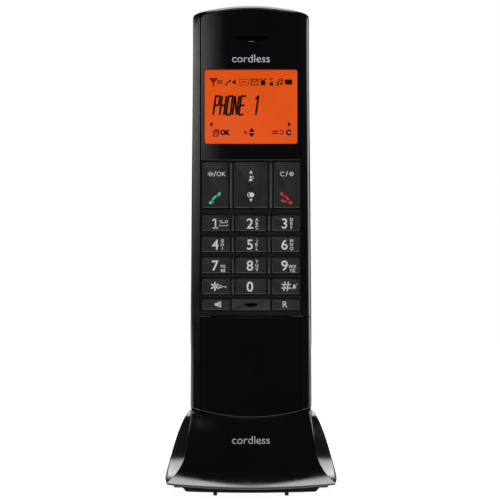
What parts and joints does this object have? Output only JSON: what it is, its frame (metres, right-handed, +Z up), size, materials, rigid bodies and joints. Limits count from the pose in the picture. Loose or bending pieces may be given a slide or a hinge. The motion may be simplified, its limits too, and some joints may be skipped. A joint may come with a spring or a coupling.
{
  "type": "cordless phone with base",
  "caption": "Slim cordless phone handset with a lit display and keypad, standing in a flared tower base that charges it.",
  "frame": {"origin": "centre of the footprint, on the surface the base stands on", "axes": "+Z up, -Y out of the keypad side, +X to the right seen from the front"},
  "size_m": [0.0718, 0.066, 0.2],
  "materials": {
    "gloss_black": "polished black moulded plastic",
    "panel_black": "high gloss black panel",
    "key_grey": "fine satin dark grey",
    "matt_black": "matt moulded",
    "display": "clear window over an orange lit display",
    "lcd_metal": "bright sheet",
    "board_green": "solder resist",
    "silicone": "satin silicone",
    "rubber": "matt rubber",
    "steel": "plated",
    "contact_gold": "plated spring contact",
    "cell_wrap": "shrink sleeve",
    "socket_grey": "moulded"
  },
  "bodies": {
    "base": {"column_shell": "gloss_black", "column_panel": "panel_black", "cradle_insert": "matt_black", "base_contact_left": "contact_gold", "base_contact_right": "contact_gold", "foot_shell": "gloss_black", "bottom_plate": "matt_black", "base_board": "board_green", "line_socket": "socket_grey", "power_socket": "socket_grey", "page_switch_board": "board_green", "base_screw_front_left": "steel", "foot_pad_front_left": "rubber", "base_screw_front_right": "steel", "foot_pad_front_right": "rubber", "base_screw_rear_left": "steel", "foot_pad_rear_left": "rubber", "base_screw_rear_right": "steel", "foot_pad_rear_right": "rubber"},
    "handset": {"handset_front_housing": "gloss_black", "handset_rear_housing": "gloss_black", "front_panel": "panel_black", "display_window": "display", "keypad_frame": "key_grey", "keypad_mat": "silicone", "handset_board": "board_green", "lcd_module": "lcd_metal", "earpiece_receiver": "matt_black", "loudspeaker": "matt_black", "microphone": "steel", "battery_contact_low": "steel", "battery_contact_high": "steel", "battery_cell_left": "cell_wrap", "battery_cell_right": "cell_wrap", "case_screw_left": "steel", "handset_contact_left": "contact_gold", "case_screw_right": "steel", "handset_contact_right": "contact_gold"},
    "battery_door": {"battery_door": "gloss_black"},
    "page_button": {"page_button": "key_grey"},
    "key_1": {"key_1": "key_grey"},
    "key_2": {"key_2": "key_grey"},
    "key_3": {"key_3": "key_grey"},
    "key_4": {"key_4": "key_grey"},
    "key_5": {"key_5": "key_grey"},
    "key_6": {"key_6": "key_grey"},
    "key_7": {"key_7": "key_grey"},
    "key_8": {"key_8": "key_grey"},
    "key_9": {"key_9": "key_grey"},
    "key_star": {"key_star": "key_grey"},
    "key_0": {"key_0": "key_grey"},
    "key_hash": {"key_hash": "key_grey"},
    "key_speaker": {"key_speaker": "key_grey"},
    "key_recall": {"key_recall": "key_grey"},
    "menu_talk_key": {"menu_talk_key": "key_grey"},
    "up_down_key": {"up_down_key": "key_grey"},
    "cancel_end_key": {"cancel_end_key": "key_grey"}
  },
  "joints": [
    {"name": "handset_lift", "type": "slide", "parent": "base", "child": "handset", "axis": [0, 0, 1], "range_m": [0, 0.06]},
    {"name": "key_1_press", "type": "slide", "parent": "handset", "child": "key_1", "axis": [0, 1, 0], "range_m": [0, 0.0007], "stiffness_N_per_m": 1500},
    {"name": "key_2_press", "type": "slide", "parent": "handset", "child": "key_2", "axis": [0, 1, 0], "range_m": [0, 0.0007], "stiffness_N_per_m": 1500},
    {"name": "key_3_press", "type": "slide", "parent": "handset", "child": "key_3", "axis": [0, 1, 0], "range_m": [0, 0.0007], "stiffness_N_per_m": 1500},
    {"name": "key_4_press", "type": "slide", "parent": "handset", "child": "key_4", "axis": [0, 1, 0], "range_m": [0, 0.0007], "stiffness_N_per_m": 1500},
    {"name": "key_5_press", "type": "slide", "parent": "handset", "child": "key_5", "axis": [0, 1, 0], "range_m": [0, 0.0007], "stiffness_N_per_m": 1500},
    {"name": "key_6_press", "type": "slide", "parent": "handset", "child": "key_6", "axis": [0, 1, 0], "range_m": [0, 0.0007], "stiffness_N_per_m": 1500},
    {"name": "key_7_press", "type": "slide", "parent": "handset", "child": "key_7", "axis": [0, 1, 0], "range_m": [0, 0.0007], "stiffness_N_per_m": 1500},
    {"name": "key_8_press", "type": "slide", "parent": "handset", "child": "key_8", "axis": [0, 1, 0], "range_m": [0, 0.0007], "stiffness_N_per_m": 1500},
    {"name": "key_9_press", "type": "slide", "parent": "handset", "child": "key_9", "axis": [0, 1, 0], "range_m": [0, 0.0007], "stiffness_N_per_m": 1500},
    {"name": "key_star_press", "type": "slide", "parent": "handset", "child": "key_star", "axis": [0, 1, 0], "range_m": [0, 0.0007], "stiffness_N_per_m": 1500},
    {"name": "key_0_press", "type": "slide", "parent": "handset", "child": "key_0", "axis": [0, 1, 0], "range_m": [0, 0.0007], "stiffness_N_per_m": 1500},
    {"name": "key_hash_press", "type": "slide", "parent": "handset", "child": "key_hash", "axis": [0, 1, 0], "range_m": [0, 0.0007], "stiffness_N_per_m": 1500},
    {"name": "key_speaker_press", "type": "slide", "parent": "handset", "child": "key_speaker", "axis": [0, 1, 0], "range_m": [0, 0.0007], "stiffness_N_per_m": 1500},
    {"name": "key_recall_press", "type": "slide", "parent": "handset", "child": "key_recall", "axis": [0, 1, 0], "range_m": [0, 0.0007], "stiffness_N_per_m": 1500},
    {"name": "menu_talk_key_rock", "type": "hinge", "parent": "handset", "child": "menu_talk_key", "pos_m": [-0.01455, -0.0168, 0.12665], "axis": [1, 0, 0], "range_deg": [-3, 3], "stiffness_Nm_per_rad": 0.25},
    {"name": "up_down_key_rock", "type": "hinge", "parent": "handset", "child": "up_down_key", "pos_m": [0, -0.0168, 0.12665], "axis": [1, 0, 0], "range_deg": [-3, 3], "stiffness_Nm_per_rad": 0.25},
    {"name": "cancel_end_key_rock", "type": "hinge", "parent": "handset", "child": "cancel_end_key", "pos_m": [0.01455, -0.0168, 0.12665], "axis": [1, 0, 0], "range_deg": [-3, 3], "stiffness_Nm_per_rad": 0.25},
    {"name": "battery_door_slide", "type": "slide", "parent": "handset", "child": "battery_door", "axis": [0, 0, -1], "range_m": [0, 0.012]},
    {"name": "page_button_press", "type": "slide", "parent": "base", "child": "page_button", "axis": [0, -1, 0], "range_m": [0, 0.001], "stiffness_N_per_m": 1200}
  ]
}
